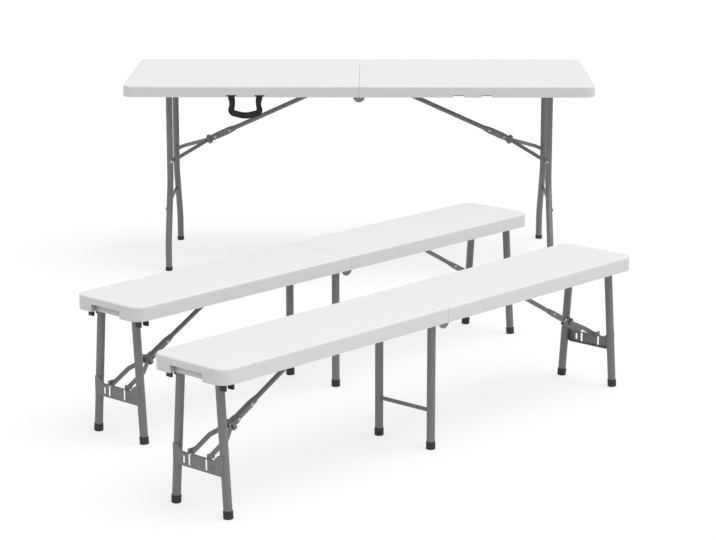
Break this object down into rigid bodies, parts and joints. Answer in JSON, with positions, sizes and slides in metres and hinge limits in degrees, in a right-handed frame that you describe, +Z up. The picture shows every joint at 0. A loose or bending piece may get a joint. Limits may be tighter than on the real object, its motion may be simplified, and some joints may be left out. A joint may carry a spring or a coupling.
{
  "type": "folding_table_and_bench_set",
  "caption": "White folding camping table with a strap handle and matching folding benches, moulded tops on grey tubular steel legs with fork braces",
  "frame": {"origin": "bottom centre of the whole set on the floor", "axes": "+X along the table toward its right end, +Y from the benches toward the table, +Z up"},
  "size_m": [1.8, 3.5872, 0.74],
  "materials": {
    "shell": "fine pebbled white moulding",
    "steel": "satin grey powder coat",
    "cap": "dark matt moulding",
    "clip": "black matt moulding",
    "webbing": "black woven webbing"
  },
  "bodies": {
    "table_left": {"table_top_left": "shell", "table_rails_left": "steel"},
    "table_right": {"table_top_right": "shell", "table_rails_right": "steel"},
    "table_link": {"table_hinge_links": "steel", "table_hinge_pins": "steel"},
    "table_legs_left_frame": {"table_legs_left": "steel", "table_rung_left": "steel", "table_feet_left": "cap"},
    "table_brace_left_body": {"table_brace_left": "steel"},
    "table_fork_left_body": {"table_fork_left": "steel"},
    "table_ring_left_body": {"table_ring_left": "steel"},
    "table_legs_right_frame": {"table_legs_right": "steel", "table_rung_right": "steel", "table_feet_right": "cap"},
    "table_brace_right_body": {"table_brace_right": "steel"},
    "table_fork_right_body": {"table_fork_right": "steel"},
    "table_ring_right_body": {"table_ring_right": "steel"},
    "table_handle_body": {"table_handle": "webbing"},
    "rear_bench_left": {"rear_bench_seat_left": "shell", "rear_bench_rails_left": "steel", "rear_bench_clips": "clip"},
    "rear_bench_right": {"rear_bench_seat_right": "shell", "rear_bench_rails_right": "steel"},
    "rear_bench_link": {"rear_bench_hinge_links": "steel"},
    "rear_bench_legs_left_frame": {"rear_bench_legs_left": "steel", "rear_bench_plate_left": "steel", "rear_bench_feet_left": "cap"},
    "rear_bench_brace_left_body": {"rear_bench_brace_left": "steel"},
    "rear_bench_fork_left_body": {"rear_bench_fork_left": "steel"},
    "rear_bench_ring_left_body": {"rear_bench_ring_left": "steel"},
    "rear_bench_legs_right_frame": {"rear_bench_legs_right": "steel", "rear_bench_plate_right": "steel", "rear_bench_feet_right": "cap"},
    "rear_bench_brace_right_body": {"rear_bench_brace_right": "steel"},
    "rear_bench_fork_right_body": {"rear_bench_fork_right": "steel"},
    "rear_bench_ring_right_body": {"rear_bench_ring_right": "steel"},
    "rear_bench_centre": {"rear_bench_centre_legs": "steel", "rear_bench_centre_feet": "cap"},
    "front_bench_left": {"front_bench_seat_left": "shell", "front_bench_rails_left": "steel", "front_bench_clips": "clip"},
    "front_bench_right": {"front_bench_seat_right": "shell", "front_bench_rails_right": "steel"},
    "front_bench_link": {"front_bench_hinge_links": "steel"},
    "front_bench_legs_left_frame": {"front_bench_legs_left": "steel", "front_bench_plate_left": "steel", "front_bench_feet_left": "cap"},
    "front_bench_brace_left_body": {"front_bench_brace_left": "steel"},
    "front_bench_fork_left_body": {"front_bench_fork_left": "steel"},
    "front_bench_ring_left_body": {"front_bench_ring_left": "steel"},
    "front_bench_legs_right_frame": {"front_bench_legs_right": "steel", "front_bench_plate_right": "steel", "front_bench_feet_right": "cap"},
    "front_bench_brace_right_body": {"front_bench_brace_right": "steel"},
    "front_bench_fork_right_body": {"front_bench_fork_right": "steel"},
    "front_bench_ring_right_body": {"front_bench_ring_right": "steel"},
    "front_bench_centre": {"front_bench_centre_legs": "steel", "front_bench_centre_feet": "cap"}
  },
  "joints": [
    {"name": "table_fold_a", "type": "hinge", "parent": "table_left", "child": "table_link", "pos_m": [-0.008, 1.42358, 0.698], "axis": [0, 1, 0], "range_deg": [0, 90]},
    {"name": "table_fold_b", "type": "hinge", "parent": "table_link", "child": "table_right", "pos_m": [0.008, 1.42358, 0.698], "axis": [0, 1, 0], "range_deg": [0, 90]},
    {"name": "table_leg_left", "type": "hinge", "parent": "table_left", "child": "table_legs_left_frame", "pos_m": [-0.742, 1.42358, 0.708], "axis": [0, -1, 0], "range_deg": [0, 90]},
    {"name": "table_brace_left_turn", "type": "hinge", "parent": "table_left", "child": "table_brace_left_body", "pos_m": [-0.06, 1.42358, 0.714], "axis": [0, 1, 0], "range_deg": [0, 24.21]},
    {"name": "table_knee_left", "type": "hinge", "parent": "table_brace_left_body", "child": "table_fork_left_body", "pos_m": [-0.57311, 1.42358, 0.48325], "axis": [0, -1, 0], "range_deg": [0, 180]},
    {"name": "table_ring_left_slide", "type": "slide", "parent": "table_brace_left_body", "child": "table_ring_left_body", "axis": [0.912, 0, 0.4101], "range_m": [0, 0.35]},
    {"name": "table_leg_right", "type": "hinge", "parent": "table_right", "child": "table_legs_right_frame", "pos_m": [0.742, 1.42358, 0.708], "axis": [0, 1, 0], "range_deg": [0, 90]},
    {"name": "table_brace_right_turn", "type": "hinge", "parent": "table_right", "child": "table_brace_right_body", "pos_m": [0.06, 1.42358, 0.714], "axis": [0, -1, 0], "range_deg": [0, 24.21]},
    {"name": "table_knee_right", "type": "hinge", "parent": "table_brace_right_body", "child": "table_fork_right_body", "pos_m": [0.57311, 1.42358, 0.48325], "axis": [0, 1, 0], "range_deg": [0, 180]},
    {"name": "table_ring_right_slide", "type": "slide", "parent": "table_brace_right_body", "child": "table_ring_right_body", "axis": [-0.912, 0, 0.4101], "range_m": [0, 0.35]},
    {"name": "table_handle_swing", "type": "hinge", "parent": "table_left", "child": "table_handle_body", "pos_m": [-0.432, 1.06058, 0.7015], "axis": [-1, 0, 0], "range_deg": [0, 90]},
    {"name": "rear_bench_stand", "type": "slide", "parent": "table_left", "child": "rear_bench_left", "axis": [0, 1, 0], "range_m": [0, 0.25]},
    {"name": "rear_bench_fold_a", "type": "hinge", "parent": "rear_bench_left", "child": "rear_bench_link", "pos_m": [-0.12201, -0.38088, 0.387], "axis": [-0.7431, 0.6691, 0], "range_deg": [0, 90]},
    {"name": "rear_bench_fold_b", "type": "hinge", "parent": "rear_bench_link", "child": "rear_bench_right", "pos_m": [-0.11399, -0.37196, 0.387], "axis": [-0.7431, 0.6691, 0], "range_deg": [0, 90]},
    {"name": "rear_bench_leg_left", "type": "hinge", "parent": "rear_bench_left", "child": "rear_bench_legs_left_frame", "pos_m": [-0.69613, -1.01849, 0.397], "axis": [0.7431, -0.6691, 0], "range_deg": [0, 90]},
    {"name": "rear_bench_brace_left_turn", "type": "hinge", "parent": "rear_bench_left", "child": "rear_bench_brace_left_body", "pos_m": [-0.39167, -0.68036, 0.403], "axis": [-0.7431, 0.6691, 0], "range_deg": [0, 28.22]},
    {"name": "rear_bench_knee_left", "type": "hinge", "parent": "rear_bench_brace_left_body", "child": "rear_bench_fork_left_body", "pos_m": [-0.60675, -0.91923, 0.23048], "axis": [0.7431, -0.6691, 0], "range_deg": [0, 180]},
    {"name": "rear_bench_ring_left_slide", "type": "slide", "parent": "rear_bench_brace_left_body", "child": "rear_bench_ring_left_body", "axis": [0.5896, 0.6548, 0.4729], "range_m": [0, 0.25]},
    {"name": "rear_bench_leg_right", "type": "hinge", "parent": "rear_bench_right", "child": "rear_bench_legs_right_frame", "pos_m": [0.46013, 0.26566, 0.397], "axis": [-0.7431, 0.6691, 0], "range_deg": [0, 90]},
    {"name": "rear_bench_brace_right_turn", "type": "hinge", "parent": "rear_bench_right", "child": "rear_bench_brace_right_body", "pos_m": [0.15567, -0.07247, 0.403], "axis": [0.7431, -0.6691, 0], "range_deg": [0, 28.22]},
    {"name": "rear_bench_knee_right", "type": "hinge", "parent": "rear_bench_brace_right_body", "child": "rear_bench_fork_right_body", "pos_m": [0.37075, 0.16639, 0.23048], "axis": [-0.7431, 0.6691, 0], "range_deg": [0, 180]},
    {"name": "rear_bench_ring_right_slide", "type": "slide", "parent": "rear_bench_brace_right_body", "child": "rear_bench_ring_right_body", "axis": [-0.5896, -0.6548, 0.4729], "range_m": [0, 0.25]},
    {"name": "rear_bench_leg_centre", "type": "hinge", "parent": "rear_bench_left", "child": "rear_bench_centre", "pos_m": [-0.13941, -0.4002, 0.397], "axis": [-0.7431, 0.6691, 0], "range_deg": [0, 90]},
    {"name": "front_bench_stand", "type": "slide", "parent": "table_left", "child": "front_bench_left", "axis": [0, 1, 0], "range_m": [0, 0.25]},
    {"name": "front_bench_fold_a", "type": "hinge", "parent": "front_bench_left", "child": "front_bench_link", "pos_m": [0.16798, -1.04088, 0.387], "axis": [-0.7431, 0.6691, 0], "range_deg": [0, 90]},
    {"name": "front_bench_fold_b", "type": "hinge", "parent": "front_bench_link", "child": "front_bench_right", "pos_m": [0.17602, -1.03196, 0.387], "axis": [-0.7431, 0.6691, 0], "range_deg": [0, 90]},
    {"name": "front_bench_leg_left", "type": "hinge", "parent": "front_bench_left", "child": "front_bench_legs_left_frame", "pos_m": [-0.40613, -1.6785, 0.397], "axis": [0.7431, -0.6691, 0], "range_deg": [0, 90]},
    {"name": "front_bench_brace_left_turn", "type": "hinge", "parent": "front_bench_left", "child": "front_bench_brace_left_body", "pos_m": [-0.10167, -1.34036, 0.403], "axis": [-0.7431, 0.6691, 0], "range_deg": [0, 28.22]},
    {"name": "front_bench_knee_left", "type": "hinge", "parent": "front_bench_brace_left_body", "child": "front_bench_fork_left_body", "pos_m": [-0.31675, -1.57923, 0.23048], "axis": [0.7431, -0.6691, 0], "range_deg": [0, 180]},
    {"name": "front_bench_ring_left_slide", "type": "slide", "parent": "front_bench_brace_left_body", "child": "front_bench_ring_left_body", "axis": [0.5896, 0.6548, 0.4729], "range_m": [0, 0.25]},
    {"name": "front_bench_leg_right", "type": "hinge", "parent": "front_bench_right", "child": "front_bench_legs_right_frame", "pos_m": [0.75013, -0.39434, 0.397], "axis": [-0.7431, 0.6691, 0], "range_deg": [0, 90]},
    {"name": "front_bench_brace_right_turn", "type": "hinge", "parent": "front_bench_right", "child": "front_bench_brace_right_body", "pos_m": [0.44567, -0.73247, 0.403], "axis": [0.7431, -0.6691, 0], "range_deg": [0, 28.22]},
    {"name": "front_bench_knee_right", "type": "hinge", "parent": "front_bench_brace_right_body", "child": "front_bench_fork_right_body", "pos_m": [0.66075, -0.49361, 0.23048], "axis": [-0.7431, 0.6691, 0], "range_deg": [0, 180]},
    {"name": "front_bench_ring_right_slide", "type": "slide", "parent": "front_bench_brace_right_body", "child": "front_bench_ring_right_body", "axis": [-0.5896, -0.6548, 0.4729], "range_m": [0, 0.25]},
    {"name": "front_bench_leg_centre", "type": "hinge", "parent": "front_bench_left", "child": "front_bench_centre", "pos_m": [0.15059, -1.0602, 0.397], "axis": [-0.7431, 0.6691, 0], "range_deg": [0, 90]}
  ],
  "couplings": [
    {"joint": "table_brace_left_turn", "follows": "table_leg_left", "ratio": 0.26904},
    {"joint": "table_knee_left", "follows": "table_leg_left", "ratio": 2},
    {"joint": "table_ring_left_slide", "follows": "table_leg_left", "m_per_rad": 0.22282},
    {"joint": "table_brace_right_turn", "follows": "table_leg_right", "ratio": 0.26904},
    {"joint": "table_knee_right", "follows": "table_leg_right", "ratio": 2},
    {"joint": "table_ring_right_slide", "follows": "table_leg_right", "m_per_rad": 0.22282},
    {"joint": "rear_bench_brace_left_turn", "follows": "rear_bench_leg_left", "ratio": 0.31361},
    {"joint": "rear_bench_knee_left", "follows": "rear_bench_leg_left", "ratio": 2},
    {"joint": "rear_bench_ring_left_slide", "follows": "rear_bench_leg_left", "m_per_rad": 0.15915},
    {"joint": "rear_bench_brace_right_turn", "follows": "rear_bench_leg_right", "ratio": 0.31361},
    {"joint": "rear_bench_knee_right", "follows": "rear_bench_leg_right", "ratio": 2},
    {"joint": "rear_bench_ring_right_slide", "follows": "rear_bench_leg_right", "m_per_rad": 0.15915},
    {"joint": "front_bench_brace_left_turn", "follows": "front_bench_leg_left", "ratio": 0.31361},
    {"joint": "front_bench_knee_left", "follows": "front_bench_leg_left", "ratio": 2},
    {"joint": "front_bench_ring_left_slide", "follows": "front_bench_leg_left", "m_per_rad": 0.15915},
    {"joint": "front_bench_brace_right_turn", "follows": "front_bench_leg_right", "ratio": 0.31361},
    {"joint": "front_bench_knee_right", "follows": "front_bench_leg_right", "ratio": 2},
    {"joint": "front_bench_ring_right_slide", "follows": "front_bench_leg_right", "m_per_rad": 0.15915}
  ]
}
